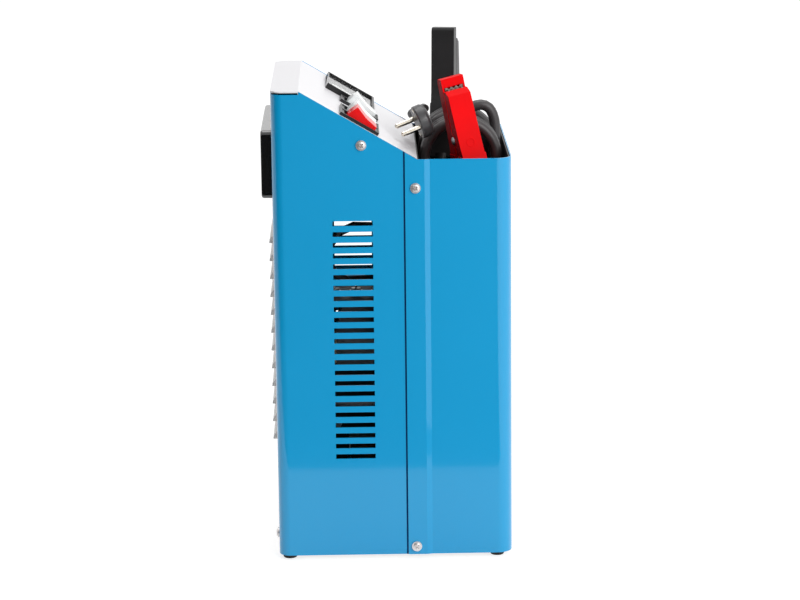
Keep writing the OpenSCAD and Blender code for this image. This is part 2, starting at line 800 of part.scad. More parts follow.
module transformer_bolts() {
    color(chrome) core_bolt_places() {
        cylinder(h = core_stack + 14, r = bolt_r, center = true);
        for (s = [-1, 1]) mirror([0, 0, s > 0 ? 1 : 0]) translate([0, 0, core_stack / 2 + 2]) cylinder(h = 4, r = 4.6, $fn = 6);
    }
}

// Bridge over the transformer, which carries the rectifier's plate on
// insulating posts. The plate lies flat, with fins under it along its length.
bridge_x0 = core_x - core_length / 2 - 7;
bridge_x1 = core_x + core_length / 2 + 7;
bridge_z = z_bin - 60;
bridge_y = winding_reach + 6;
sink_x = bridge_x0 + 4;
sink_y = -72;
sink_base = 5;
sink_z = z_bin + 1;
fin_t = 2.4;
fin_inset = 20;
post_r = 5;
post_places = [for (x = [sink_x + 9, sink_x + sink_length - 9], y = [-bridge_y + 8, sink_y + sink_width - 9]) [x, y]];
diode_r = 6.4;
diode_body = 6.5;
diode_cap = 2.5;
diode_pin = 2;
diode_pitch = 20;
diode_places = [for (i = [0:3]) [sink_x + sink_length / 2 + (i - 1.5) * diode_pitch, sink_y + sink_width / 2]];

module rectifier_bridge() {
    z0 = z_base + sheet;
    t = 1.5;
    color(zinc) difference() {
        along_y(-bridge_y, bridge_y)
            polygon([[bridge_x0 - 12, z0], [bridge_x0 + t, z0], [bridge_x0 + t, bridge_z - t], [bridge_x1 - t, bridge_z - t],
                [bridge_x1 - t, z0], [bridge_x1 + 12, z0], [bridge_x1 + 12, z0 + t], [bridge_x1, z0 + t],
                [bridge_x1, bridge_z], [bridge_x0, bridge_z], [bridge_x0, z0 + t], [bridge_x0 - 12, z0 + t]]);
        for (x = [bridge_x0, bridge_x1]) for (z = [50, 90, 130])
            box([x - 4, -25, z_base + z], [x + 4, 25, z_base + z + 20]);
    }
}

module heat_sink() {
    gap = (sink_width - fin_t) / (sink_fins - 1);
    color([0.78, 0.79, 0.80]) difference() {
        union() {
            box([sink_x, sink_y, sink_z], [sink_x + sink_length, sink_y + sink_width, sink_z + sink_base]);
            for (i = [0:sink_fins - 1])
                box([sink_x + fin_inset, sink_y + i * gap, sink_z - sink_fin],
                    [sink_x + sink_length - fin_inset, sink_y + i * gap + fin_t, sink_z + eps]);
        }
        for (p = diode_places) translate([p[0], p[1], sink_z + 1]) cylinder(h = sink_base, r = diode_r + press);
    }
}

module diodes() {
    color(chrome) for (p = diode_places) translate([p[0], p[1], sink_z + 1]) {
        cylinder(h = diode_body, r = diode_r);
        translate([0, 0, diode_body - eps]) cylinder(h = diode_cap, r = 4.4);
        translate([0, 0, diode_body + diode_cap - 2 * eps]) cylinder(h = diode_pin, r = 1);
    }
}

module sink_posts() {
    color([0.85, 0.80, 0.70]) for (p = post_places) translate([p[0], p[1], bridge_z])
        cylinder(h = sink_z - bridge_z, r = post_r, $fn = 6);
}

// Mains terminal block on the base pan, behind the transformer
module terminal_block() {
    x0 = x_inner_back + 12;
    z0 = z_base + sheet;
    color(white) difference() {
        union() {
            box([x0, 62, z0], [x0 + 18, 92, z0 + 8]);
            for (i = [0:2]) box([x0 + 3, 64 + i * 9.2, z0 + 7], [x0 + 15, 71.4 + i * 9.2, z0 + 15]);
        }
        for (i = [0:2]) translate([x0 + 9, 67.7 + i * 9.2, z0 + 9]) cylinder(h = 10, r = 2.2);
    }
}

// Sweeps a tube of n sides along a route. Each ring lies across the route,
// turned so that it doesn't twist.
function unit(v) = v / norm(v);
function heading(p, i) = unit(p[min(i + 1, len(p) - 1)] - p[max(i - 1, 0)]);
function carried(a, t) = unit(a - t * (a * t));
function first_across(t) = unit(cross(t, abs(t[2]) < 0.8 ? [0, 0, 1] : [1, 0, 0]));
function acrosses(p) = [for (i = 0, a = first_across(heading(p, 0)); i < len(p);
    i = i + 1, a = i < len(p) ? carried(a, heading(p, i)) : a) a];

module tube(p, d, n) {
    m = len(p);
    a = acrosses(p);
    points = [for (i = [0:m - 1], k = [0:n - 1])
        let (t = heading(p, i), b = cross(t, a[i]))
        p[i] + d / 2 * (cos(360 * k / n) * a[i] + sin(360 * k / n) * b)];
    sides = [for (i = [0:m - 2], k = [0:n - 1]) [i * n + k, i * n + (k + 1) % n, (i + 1) * n + (k + 1) % n, (i + 1) * n + k]];
    start = [for (k = [0:n - 1]) n - 1 - k];
    end = [for (k = [0:n - 1]) (m - 1) * n + k];
    polyhedron(points, concat([for (f = sides) [f[3], f[2], f[1], f[0]]], [[for (k = [n - 1:-1:0]) start[k]]], [[for (k = [n - 1:-1:0]) end[k]]]), convexity = 6);
}

// Routes of the cords, as points along their middles. They, the coils, the plug
// and the clamps move with the bin's floor and its back wall.
bin_shift = [x_slope - 28.2, 0, z_bin - 236];
mains_start = [[50.4, 89.5, 252], [53, 89.5, 252], [60, 89.5, 250.2], [68, 89.5, 246], [77, 89.5, 243], [88, 89.5, 245],
    [96.5, 89.5, 252.5], [102, 89.5, 264], [104.2, 89.5, 277], [104.2, 89.5, 292]];
mains_end = [[52, 62, 344.2], [45.5, 63, 345.4], [39.8, 64.3, 349.3], [36, 65, 356.5], [34.3, 64.6, 366.5], [33.8, 61, 377],
    [33.9, 53, 385.8], [34.2, 42, 391.8], [34.5, 31, 396.6], [34.9, 21, 401], [35.4, 12, 405.4], [36, 4.6, 408.6],
    [37, -2.2, 409.8], [38.3, -9, 409.9]];
red_start = [[36.5, -0.9, 252], [38.5, -0.9, 252], [47, -0.9, 248.9], [58, -0.9, 244.5], [70, -1, 242.5], [83, -1, 245.1],
    [93, -1, 251.5], [100.5, -1, 261.5], [103.6, -1, 274], [103.7, -1, 288]];
red_end = [[80.4, -46.2, 317.2], [82, -43.2, 305], [84.6, -41.4, 292], [87.4, -41.2, 280], [88.4, -41.2, 268],
    [86, -41.2, 256.6], [79.4, -41.2, 248], [70, -41.2, 243.8], [60, -41.2, 244], [51, -41.2, 248],
    [43, -41.2, 255.7], [37.8, -41.2, 267], [36.7, -41.2, 280], [36.7, -41.2, 294]];
black_start = [[36.5, 10.3, 252], [38.5, 10.3, 252], [47, 10.2, 248.9], [58, 9.6, 244.5], [70, 9.3, 242.5], [83, 9.3, 245.1],
    [93, 9.3, 251.5], [100.5, 9.3, 261.5], [103.6, 9.3, 274], [103.7, 9.3, 288], [103.9, 9.4, 320], [104, 9.6, 352],
    [104.4, 9.9, 380], [103.4, 10.2, 396], [98.6, 10.4, 406.5], [91, 10.4, 409.6], [83, 10.4, 407.6], [76, 10.4, 403.8],
    [70.2, 10.4, 401.4]];
black_end = [[54.4, 46.8, 343.6], [53.7, 44.5, 333], [55, 45.6, 322], [59, 48.4, 310], [65, 50.4, 298], [71, 50.8, 286],
    [75, 50.8, 273], [74, 50.8, 260], [67, 50.8, 250], [57, 50.8, 246.5], [47.5, 50.8, 250], [40.5, 50.8, 259],
    [37.4, 50.8, 270], [36.7, 50.8, 282], [36.7, 50.8, 294]];
// The lead inside the case, from its bush to the rectifier's plate
inner_d = 8;
inner_route = [[22, -0.9, 252], [10, -6, 252.4], [-6, -20, 253.2], [-22, -38, 253.6], [-37, -50, 255.4], [-49, -57, 264],
    [-54.5, -60, 277], [-53, -60, 291], [-44, -58, 303], [-30, -55, 308.5], [-15, -50, 307], [-4, -43, 299],
    [0.5, -36, 287], [1, -31.5, 272], [1, -31, 257], [1, -31, 242.2]];

module in_bin() {
    translate(bin_shift) children();
}

module mains_cord() {
    color(jacket) in_bin() {
        tube(mains_start, cord_d, 10);
        tube(mains_end, cord_d, 10);
    }
}

module red_lead() {
    color(jacket) in_bin() {
        tube(red_start, lead_d, 10);
        tube(red_end, lead_d, 10);
    }
}

module black_lead() {
    color(jacket) in_bin() {
        tube(black_start, lead_d, 10);
        tube(black_end, lead_d, 10);
    }
}

// A coil that stands upright in the bin: an outline with round ends, open in the middle
module coil(x, z0, z1, r, d, y0, y1) {
    along_y(y0, y1) difference() {
        union() {
            square_from(x - r, x + r, z0 + r, z1 - r);
            for (z = [z0 + r, z1 - r]) translate([x, z]) circle(r);
        }
        square_from(x - r + d, x + r - d, z0 + r, z1 - r);
        for (z = [z0 + r, z1 - r]) translate([x, z]) circle(r - d);
    }
}

coil_mid = x_slope + 42;
coil_low = z_bin + 1.5;
lead_coil_top = z_bin + 170;
lead_coil_r = 38.5;
mains_coil_top = z_bin + 108.5;
mains_coil_r = 37.5;

module mains_coil() {
    color(jacket) coil(coil_mid, coil_low, mains_coil_top, mains_coil_r, cord_d, 56, 84);
}

module red_coil() {
    color(jacket) coil(coil_mid, coil_low, lead_coil_top, lead_coil_r, lead_d, -36.1, -6.1);
}

module black_coil() {
    color(jacket) coil(coil_mid, coil_low, lead_coil_top, lead_coil_r, lead_d, 15.5, 45.5);
}

// Mains plug: a flat round body with its pins along z and its cord leaving along -y
plug_at = [29.4, -54, 403.6];
plug_r = 15.5;
plug_t = 11.5;
gland_r = 5.7;
gland_end = 42;
pin_r = 2.4;
pin_shank = 2;
pin_length = 19;
pin_gap = 19;
pin_turn = 75;
clip_out = 12.6;

module at_plug() {
    translate(plug_at + bin_shift) rotate([0, 110, 192]) children();
}

module pin_places() {
    rotate([0, 0, pin_turn]) for (s = [-1, 1]) translate([s * pin_gap / 2, 0, 0]) children();
}

module clip_places() {
    rotate([0, 0, pin_turn + 90]) for (s = [-1, 1]) translate([s * clip_out, 0, 0]) children();
}

module plug_body() {
    color(black) at_plug() difference() {
        union() {
            rotate_extrude() polygon([[0, -plug_t], [plug_r - 4.5, -plug_t], [plug_r - 1.5, -plug_t + 1.3], [plug_r, -plug_t + 4],
                [plug_r, -1.2], [plug_r - 1, 0], [0, 0]]);
            translate([0, 0, -plug_t / 2]) rotate([90, 0, 0]) rotate_extrude()
                polygon([[0, 0], [gland_r, 0], [gland_r, 19], [5.4, 24], [4.8, 24], [4.8, 27], [5.3, 27], [5.2, 29], [4.7, 29],
                    [4.7, 32], [5.1, 32], [5, 34], [4.6, 34], [4.6, 37], [4.9, 37], [4.7, gland_end], [0, gland_end]]);
        }
        translate([0, 0, -plug_t / 2]) rotate([90, 0, 0]) translate([0, 0, gland_end - 12]) cylinder(h = 20, r = cord_d / 2 + press);
        pin_places() translate([0, 0, -8]) cylinder(h = 10, r = pin_shank + press);
        clip_places() translate([-0.7, -3.2, -6]) cube([1.4, 6.4, 8]);
    }
}

module plug_contacts() {
    color(chrome) at_plug() {
        pin_places() {
            translate([0, 0, -8]) cylinder(h = 8.1, r = pin_shank);
            cylinder(h = pin_length - 1.6, r = pin_r);
            translate([0, 0, pin_length - 1.6 - eps]) rotate_extrude() polygon([[0, 0], [pin_r, 0], [pin_r - 1.2, 1.6], [0, 1.6]]);
        }
        clip_places() translate([-0.6, -3.1, -6]) cube([1.2, 6.2, 6.6]);
    }
}

// Clamps: two insulated half shells with toothed jaws, a rivet through both and
// a spring. In a clamp's own frame the jaws point up, x runs across the clamp,
// the fixed half is at +y and the rivet lies on the x axis.
inner_y = 0.6;
handle_y = inner_y + (handle_length - 2) * tan(handle_slant);
jaw_gap = 0.3;
tooth = 3;
tooth_rise = 1.4;
end_tooth = 4.6;
boss_r = 6;
rivet_r = 2;
ear_out = 8.6;
ear_in = 7.1;
ear_t = 1.2;

collar_y = handle_y + 3.6;
collar_z = -handle_length + 4;
spring_leg = 34;
spring_slant = 12;
step_z = -14;
step_out = 0.8;
half_top = [jaw_length, jaw_length - jaw_step];

module at_red() {
    in_bin() translate([72.4, -68.5, 391.3]) rotate([1.2, 0, 0]) rotate([0, -11.4, 0]) rotate([0, 0, 18.3]) children();
}

module at_black() {
    in_bin() translate([59.9, 70.5, 418]) rotate([-2, 0, 0]) rotate([0, 0, 166]) children();
}

// A half shell from the side, with y across and z up, in by a wall. The longer
// half ends in a blunt lip, the other one in a slope.
module half_outline(moving, w) {
    top = half_top[moving];
    tip = moving == 1 ? [[inner_y, top - w], [5 - 0.4 * w, top - w], [11 - w, top - 7 - 0.4 * w]]
        : [[inner_y, top - w], [9 - w, top - w], [11 - w, top - 3 - 0.4 * w]];
    polygon(concat(tip, [[13.4 - w, 12], [14.6 - w, -4],
        [handle_y + 9.5 - w, -handle_length + 2 + w], [handle_y + 8.5 - w, -handle_length + w], [handle_y, -handle_length + w],
        [inner_y, -2]]));
}

// The space in a half shell, open towards the other half
module half_inside(moving) {
    w = clamp_wall;
    top = half_top[moving] - (moving == 1 ? w : jaw_lip);
    intersection() {
        union() {
            half_outline(moving, w);
            square_from(-1, 6, 0, top);
            polygon([[-1, 0], [inner_y + 1, 0], [handle_y, -handle_length + w], [handle_y - 2, -handle_length + w], [-1, -2]]);
        }
        square_from(-1, handle_y + 10, -handle_length + w, top);
    }
}

module half_shell(moving) {
    w = clamp_width / 2;
    difference() {
        union() {
            along_x(-w, w) half_outline(moving, 0);
            along_x(-w - step_out, w + step_out) intersection() {
                half_outline(moving, 0);
                square_from(0, handle_y + 10, -handle_length, step_z);
            }
            if (moving == 0) for (s = [-1, 1]) rotate([0, s * 90, 0]) translate([0, 0, w - clamp_wall]) cylinder(h = clamp_wall, r = boss_r);
            if (moving == 0) translate([0, collar_y, collar_z]) rotate([180 + handle_slant, 0, 0]) cylinder(h = 12, r = 7.4);
        }
        along_x(-w + clamp_wall, w - clamp_wall) half_inside(moving);
        if (moving == 1) rotate([0, 90, 0]) cylinder(h = 2 * w + 2, r = boss_r + 0.5, center = true);
        rotate([0, 90, 0]) cylinder(h = 2 * w + 2, r = rivet_r + press, center = true);
        if (moving == 0) translate([0, collar_y, collar_z]) rotate([180 + handle_slant, 0, 0])
            translate([0, 0, -2]) cylinder(h = 20, r = lead_d / 2 + press);
    }
}

// One side plate of a jaw, with its sawtooth edge towards the other jaw
module ear_outline(top) {
    n = floor((top - 18) / tooth);
    z0 = top - n * tooth;
    edge = [for (i = [0:2 * n - 1]) [jaw_gap + (i % 2 == 0 ? tooth_rise : 0), z0 + (i + 0.5) * tooth / 2]];
    difference() {
        union() {
            polygon(concat([[jaw_gap, z0]], edge, [[jaw_gap, top], [3, top], [7.6, top - 8],
                [10.6, 12], [10.6, -2], [5, -8], [0, -8], [jaw_gap, 8]]));
            circle(4.6);
        }
        circle(rivet_r + press);
    }
}

// A jaw: two side plates, a back and a toothed end between them
module jaw(out, top) {
    for (s = [-1, 1]) along_x(s > 0 ? out - ear_t : -out, s > 0 ? out : -out + ear_t) ear_outline(top);
    along_x(-out, out) polygon([[10.6, 12], [9.4, 12], [6.6, top - 10], [7.6, top - 8]]);
    difference() {
        box([-out, jaw_gap, top - 7], [out, jaw_gap + 1.2, top]);
        for (i = [-1:1]) translate([i * end_tooth, jaw_gap + 0.6, top]) rotate([0, 45, 0]) cube([2.6, 4, 2.6], center = true);
    }
}

module clamp_shell(moving) {
    mirror([0, moving, 0]) half_shell(moving);
}

module clamp_jaw(moving) {
    mirror([0, moving, 0]) jaw(moving == 1 ? ear_in : ear_out, half_top[moving] - (moving == 1 ? clamp_wall : jaw_lip) - 0.3);
}

module clamp_rivet() {
    w = clamp_width / 2;
    rotate([0, 90, 0]) {
        cylinder(h = 2 * w + 1, r = rivet_r, center = true);
        for (s = [-1, 1]) mirror([0, 0, s > 0 ? 0 : 1]) translate([0, 0, w]) rotate_extrude()
            polygon([[0, 0], [4, 0], [3.6, 0.9], [2.4, 1.4], [0, 1.5]]);
    }
}

module clamp_spring() {
    wire = 0.8;
    r = rivet_r + wire + 0.3;
    turn = 1.4;
    for (i = [-1:1]) translate([i * turn, 0, 0]) rotate([0, 90, 0]) rotate_extrude() translate([r, 0])
        circle(wire, $fn = 48);
    for (s = [-1, 1]) translate([s * turn, s * r, 0]) rotate([180 - s * spring_slant, 0, 0])
        cylinder(h = spring_leg, r = wire - 0.1, $fn = 48);
}

module inner_leads() {
    color(jacket) in_bin() tube(inner_route, inner_d, 8);
}

base_pan();
rear_panel();
top_panel();
side_panel_left();
side_panel_right();
front_shell();
cable_bin();
rear_grip();
foot(foot_x[1], foot_y[0]);  // foot_front_left
foot(foot_x[1], foot_y[1]);  // foot_front_right
foot(foot_x[0], foot_y[0]);  // foot_rear_left
foot(foot_x[0], foot_y[1]);  // foot_rear_right
foot_screws();
case_screws();
grip_screws();
meter_case();
meter_dial();
meter_needle();
meter_lens();
meter_movement();
switch_body(switch_y[0]);  // switch_body_near
switch_body(switch_y[1]);  // switch_body_middle
switch_body(switch_y[2]);  // switch_body_far
rocker(switch_y[0], red);  // rocker_near
rocker(switch_y[1], white);  // rocker_middle
rocker(switch_y[2], white);  // rocker_far
transformer_core();
transformer_bobbin();
primary_winding();
secondary_winding();
transformer_clamps();
transformer_bolts();
rectifier_bridge();
heat_sink();
diodes();
sink_posts();
terminal_block();
inner_leads();
mains_bush();
lead_bushes();
mains_cord();
mains_coil();
plug_body();
plug_contacts();
red_lead();
red_coil();
black_lead();
black_coil();
color(red) at_red() clamp_shell(0);  // red_shell_fixed
color(red) at_red() clamp_shell(1);  // red_shell_moving
color(chrome) at_red() clamp_jaw(0);  // red_jaw_fixed
color(chrome) at_red() clamp_jaw(1);  // red_jaw_moving
color(chrome) at_red() clamp_rivet();  // red_rivet
color(chrome) at_red() clamp_spring();  // red_spring
color(black) at_black() clamp_shell(0);  // black_shell_fixed
color(black) at_black() clamp_shell(1);  // black_shell_moving
color(chrome) at_black() clamp_jaw(0);  // black_jaw_fixed
color(chrome) at_black() clamp_jaw(1);  // black_jaw_moving
color(chrome) at_black() clamp_rivet();  // black_rivet
color(chrome) at_black() clamp_spring();  // black_spring
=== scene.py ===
import math

import bpy
from mathutils import Matrix, Vector


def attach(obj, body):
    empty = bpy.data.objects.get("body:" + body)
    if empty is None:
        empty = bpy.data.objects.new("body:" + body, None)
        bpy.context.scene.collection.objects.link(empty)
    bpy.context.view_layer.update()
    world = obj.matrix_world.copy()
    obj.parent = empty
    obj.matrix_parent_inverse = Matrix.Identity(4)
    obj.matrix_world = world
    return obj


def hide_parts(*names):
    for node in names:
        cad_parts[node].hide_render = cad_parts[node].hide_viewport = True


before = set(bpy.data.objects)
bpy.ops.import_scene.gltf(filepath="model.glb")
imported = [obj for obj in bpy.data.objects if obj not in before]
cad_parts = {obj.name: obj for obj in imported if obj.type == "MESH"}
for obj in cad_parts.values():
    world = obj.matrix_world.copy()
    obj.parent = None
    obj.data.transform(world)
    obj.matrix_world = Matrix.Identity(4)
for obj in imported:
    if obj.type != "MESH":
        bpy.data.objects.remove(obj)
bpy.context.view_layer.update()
charger = "charger"

# Camera: the photograph looks at the case's left side from a little above the
# top, with a long lens. Its place and turn are fitted to the case's corners.
yaw, pitch, roll = (math.radians(a) for a in (0.9165, 13.0863, -0.6213))
ahead = Vector((math.sin(yaw) * math.cos(pitch), math.cos(yaw) * math.cos(pitch), -math.sin(pitch)))
level = Vector((math.cos(yaw), -math.sin(yaw), 0))
upright = level.cross(ahead)
across = level * math.cos(roll) + upright * math.sin(roll)
above = upright * math.cos(roll) - level * math.sin(roll)
camera = bpy.data.objects.new("camera", bpy.data.cameras.new("camera"))
camera.data.lens = 123.586
camera.data.sensor_width = 36
camera.data.clip_end = 50
camera.matrix_world = Matrix.Translation((-0.02796, -2.54633, 0.81643)) @ Matrix(
    (across, above, -ahead)).transposed().to_4x4()
bpy.context.scene.collection.objects.link(camera)
bpy.context.scene.camera = camera
bpy.context.scene.view_settings.view_transform = "Standard"


def linear(red, green, blue):
    """A colour as it looks on the screen, from 0 to 255, in the measure that light adds up in."""
    return [(c / 255 / 12.92 if c < 11 else ((c / 255 + 0.055) / 1.055) ** 2.4) for c in (red, green, blue)] + [1]


# White surround: it lights the object evenly, and shows as plain white behind
# it and in metal and clear plastic.
world = bpy.data.worlds.new("white_surround")
bpy.context.scene.world = world
world.use_nodes = True


def seen_apart(tree, plain, shown, output):
    """Gives the camera, gloss and clear plastic one shader, and all other light the plain one."""
    ray = tree.nodes.new("ShaderNodeLightPath")
    sight = ray.outputs["Is Camera Ray"]
    for kind in ("Is Glossy Ray", "Is Transmission Ray"):
        either = tree.nodes.new("ShaderNodeMath")
        either.operation = "MAXIMUM"
        tree.links.new(sight, either.inputs[0])
        tree.links.new(ray.outputs[kind], either.inputs[1])
        sight = either.outputs[0]
    parts = tree.nodes.new("ShaderNodeMixShader")
    tree.links.new(sight, parts.inputs[0])
    tree.links.new(plain.outputs[0], parts.inputs[1])
    tree.links.new(shown.outputs[0], parts.inputs[2])
    tree.links.new(parts.outputs[0], output.inputs["Surface"])


surround = world.node_tree.nodes["Background"]
surround.inputs["Color"].default_value = (1, 1, 1, 1)
surround.inputs["Strength"].default_value = 0.55
backdrop = world.node_tree.nodes.new("ShaderNodeBackground")
backdrop.inputs["Color"].default_value = (1, 1, 1, 1)
seen_apart(world.node_tree, surround, backdrop, world.node_tree.nodes["World Output"])

# Lamps: a large soft one at the right of the camera and a weaker one above,
# both turned to the middle of the case.
aim = Vector((0, 0, 0.2))
lamps = (("lamp_right", (1.5, -2.0, 1.6), 1.5, 34), ("lamp_top", (0.1, 0.5, 2.6), 1.6, 24))
for name, place, size, power in lamps:
    lamp = bpy.data.objects.new(name, bpy.data.lights.new(name, "AREA"))
    lamp.data.size = size
    lamp.data.energy = power
    lamp.location = place
    lamp.rotation_euler = (aim - Vector(place)).to_track_quat("-Z", "Y").to_euler()
    bpy.context.scene.collection.objects.link(lamp)

# Floor: white paper that keeps the object's shadow.
bpy.ops.mesh.primitive_plane_add(size=9, location=(0, 0, -0.0005))
floor = bpy.context.object
floor.name = "floor"
floor.data.materials.append(bpy.data.materials.new("white_paper"))
floor.data.materials[0].use_nodes = True
sheet = floor.data.materials[0].node_tree
paper = sheet.nodes["Principled BSDF"]
paper.inputs["Base Color"].default_value = (0.93, 0.93, 0.93, 1)
paper.inputs["Roughness"].default_value = 0.9
lit_paper = sheet.nodes.new("ShaderNodeBsdfPrincipled")
lit_paper.inputs["Base Color"].default_value = (0.42, 0.42, 0.42, 1)
lit_paper.inputs["Roughness"].default_value = 0.9
lit_paper.inputs["Emission Color"].default_value = (1, 1, 1, 1)
lit_paper.inputs["Emission Strength"].default_value = 0.77
seen_apart(sheet, paper, lit_paper, sheet.nodes["Material Output"])

# Dark cards, seen only in gloss: one lies in front of the case, past a strip of
# paper, one stands behind the camera and one at its left. They keep the colours
# of the side deep and let its lower edge and its front corner shine.
card_black = bpy.data.materials.new("card_black")
card_black.use_nodes = True
dull = card_black.node_tree.nodes["Principled BSDF"]
dull.inputs["Base Color"].default_value = (0.012, 0.012, 0.012, 1)
dull.inputs["Roughness"].default_value = 1
card_thick = 0.0004


def dark_card(name, place, size, for_gloss):
    """A dull black card that only gloss sees, or else one that only diffuse light meets."""
    bpy.ops.mesh.primitive_cube_add(size=1, location=place)
    card = bpy.context.object
    card.name = name
    card.scale = size
    card.data.materials.append(card_black)
    card.visible_camera = card.visible_shadow = card.visible_transmission = False
    card.visible_glossy = for_gloss
    card.visible_diffuse = not for_gloss


gloss_cards = (("card_front", (-6, -6, 0.0005), (0.25, -0.395, 0.0005)),
               ("card_camera", (-4, -5, 0), (0.7, -5, 3)),
               ("card_left", (-3, -5, 0), (-3, 0.9, 2.2)))
for name, low, high in gloss_cards:
    middle = [(a + b) / 2 for a, b in zip(low, high)]
    size = [max(b - a, card_thick) for a, b in zip(low, high)]
    dark_card(name, middle, size, True)

# Black flags, which only diffuse light meets, stand on the object's rear side.
# One takes the light from the fold there, the other from the clamps' and cords'.
dark_card("flag_fold", (-0.75, -1.1, 0.55), (card_thick, 1.8, 1.3), False)
dark_card("flag_bin", (-0.22, -0.1, 0.76), (card_thick, 1.0, 0.6), False)


# Finish of a surface: a clouded colour, a gloss that changes a little with it,
# and a grain in relief, all in the part's own measure. Lines are wires, sheets or
# draw marks that follow each other along one axis.
def finish(name, colour, rough, cloud, grain, lines=None, metal=0.0, **sockets):
    """A material: cloud is (patches a metre, spread), grain (grains a metre,
    relief) and lines (axis, pitch, relief, darkening)."""
    material = bpy.data.materials.new(name)
    material.use_nodes = True
    nodes, links = material.node_tree.nodes, material.node_tree.links
    shader = nodes["Principled BSDF"]
    place = nodes.new("ShaderNodeTexCoord")
    patches = nodes.new("ShaderNodeTexNoise")
    patches.inputs["Scale"].default_value = cloud[0]
    patches.inputs["Detail"].default_value = 4
    links.new(place.outputs["Object"], patches.inputs["Vector"])
    tint = nodes.new("ShaderNodeValToRGB")
    for stop, gain in zip(tint.color_ramp.elements, (1 - cloud[1], 1 + cloud[1])):
        stop.color = [min(1, c * gain) for c in colour[:3]] + [1]
    tint.color_ramp.elements[0].position = 0.3
    tint.color_ramp.elements[1].position = 0.7
    links.new(patches.outputs["Fac"], tint.inputs["Fac"])
    worn = nodes.new("ShaderNodeMapRange")
    worn.inputs["To Min"].default_value = rough * 0.85
    worn.inputs["To Max"].default_value = min(1, rough * 1.2)
    links.new(patches.outputs["Fac"], worn.inputs["Value"])
    links.new(worn.outputs["Result"], shader.inputs["Roughness"])
    grains = nodes.new("ShaderNodeTexNoise")
    grains.inputs["Scale"].default_value = grain[0]
    grains.inputs["Detail"].default_value = 2
    links.new(place.outputs["Object"], grains.inputs["Vector"])
    relief = nodes.new("ShaderNodeBump")
    relief.inputs["Strength"].default_value = grain[1]
    relief.inputs["Distance"].default_value = 0.0004
    links.new(grains.outputs["Fac"], relief.inputs["Height"])
    skin, normal = tint.outputs["Color"], relief.outputs["Normal"]
    if lines:
        axis, pitch, height, darkening = lines
        bands = nodes.new("ShaderNodeTexWave")
        bands.bands_direction = axis
        bands.inputs["Scale"].default_value = math.pi / 10 / pitch
        bands.inputs["Distortion"].default_value = 0.6
        bands.inputs["Detail"].default_value = 1
        links.new(place.outputs["Object"], bands.inputs["Vector"])
        groove = nodes.new("ShaderNodeValToRGB")
        groove.color_ramp.elements[0].color = [1 - darkening] * 3 + [1]
        groove.color_ramp.elements[1].position = 0.55
        links.new(bands.outputs["Fac"], groove.inputs["Fac"])
        # Sockets 6 and 7 of this node are its two colours, and output 2 is their product.
        darker = nodes.new("ShaderNodeMix")
        darker.data_type = "RGBA"
        darker.blend_type = "MULTIPLY"
        darker.inputs["Factor"].default_value = 1
        links.new(skin, darker.inputs[6])
        links.new(groove.outputs["Color"], darker.inputs[7])
        ridge = nodes.new("ShaderNodeBump")
        ridge.inputs["Strength"].default_value = height
        ridge.inputs["Distance"].default_value = pitch * 0.4
        links.new(bands.outputs["Fac"], ridge.inputs["Height"])
        links.new(normal, ridge.inputs["Normal"])
        skin, normal = darker.outputs[2], ridge.outputs["Normal"]
    links.new(skin, shader.inputs["Base Color"])
    links.new(normal, shader.inputs["Normal"])
    shader.inputs["Metallic"].default_value = metal
    for socket, value in sockets.items():
        shader.inputs[socket.replace("_", " ")].default_value = value
    return material


# Charging leads and mains cord: soft jackets over stranded copper. Each leaves a
# bush low in the bin's back wall, stands in upright loops and ends in its clamp
# or in the plug. The route points are those of the solids.
def half_turn(x, y, z, r, start):
    """Half of a loop in 12 steps, from the start angle on, seen from the case's left side."""
    angles = [math.radians(start + 180 * i / 12) for i in range(13)]
    return [(x + r * math.cos(angle), y, z + r * math.sin(angle)) for angle in angles]


def loops(turns, x, r, low, high, step):
    """Upright loops, one for each y in turns: up on the right, over the top, down on the left and under."""
    route = []
    for i, y in enumerate(turns):
        route += half_turn(x, y, high, r, 0)
        if i < len(turns) - 1:
            under = half_turn(x, y, low, r, 180)
            route += under[:-1] + [(x + r, y + step * 0.1, low)]
            route += [(x + r, y + step * t, low + (high - low) * t) for t in (0.3, 0.6, 0.85)]
    return route


def smooth(points):
    """A close row of points along one smooth line through these."""
    spacing = 0.004
    points = [Vector(p) / 1000 for p in points]
    points = [points[0] * 2 - points[1]] + points + [points[-1] * 2 - points[-2]]
    line = []
    for a, b, c, d in zip(points, points[1:], points[2:], points[3:]):
        steps = max(2, round((c - b).length / spacing))
        for i in range(steps):
            t = i / steps
            line.append(0.5 * (2 * b + (c - a) * t + (2 * a - 5 * b + 4 * c - d) * t * t
                               + (3 * b - a - 3 * c + d) * t ** 3))
    return line + [points[-2]]


def lead(name, points, diameter, material, nodes):
    """A round jacket along these points, for these nodes; returns it and its length."""
    curve = bpy.data.curves.new(name, "CURVE")
    curve.dimensions = "3D"
    curve.bevel_depth = diameter / 2
    curve.bevel_resolution = 5
    curve.use_fill_caps = True
    line = smooth(points)
    spline = curve.splines.new("POLY")
    spline.points.add(len(line) - 1)
    for point, place in zip(spline.points, line):
        point.co = (*place, 1)
    spline.use_smooth = True
    piece = bpy.data.objects.new(name, curve)
    bpy.context.scene.collection.objects.link(piece)
    curve.materials.append(material)
    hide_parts(*nodes)
    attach(piece, charger)
    return piece, round(sum((b - a).length for a, b in zip(line, line[1:])), 2)


# The leads' rubber is a lighter grey than the mains cord's: partly its own colour, partly painted highlight.
lead_rubber = finish("lead_rubber", linear(58, 55, 56), 0.4, cloud=(30, 0.22), grain=(420, 0.16),
                     Specular_IOR_Level=0.55)
mains_rubber = finish("mains_rubber", linear(30, 29, 30), 0.38, cloud=(40, 0.18), grain=(800, 0.2))

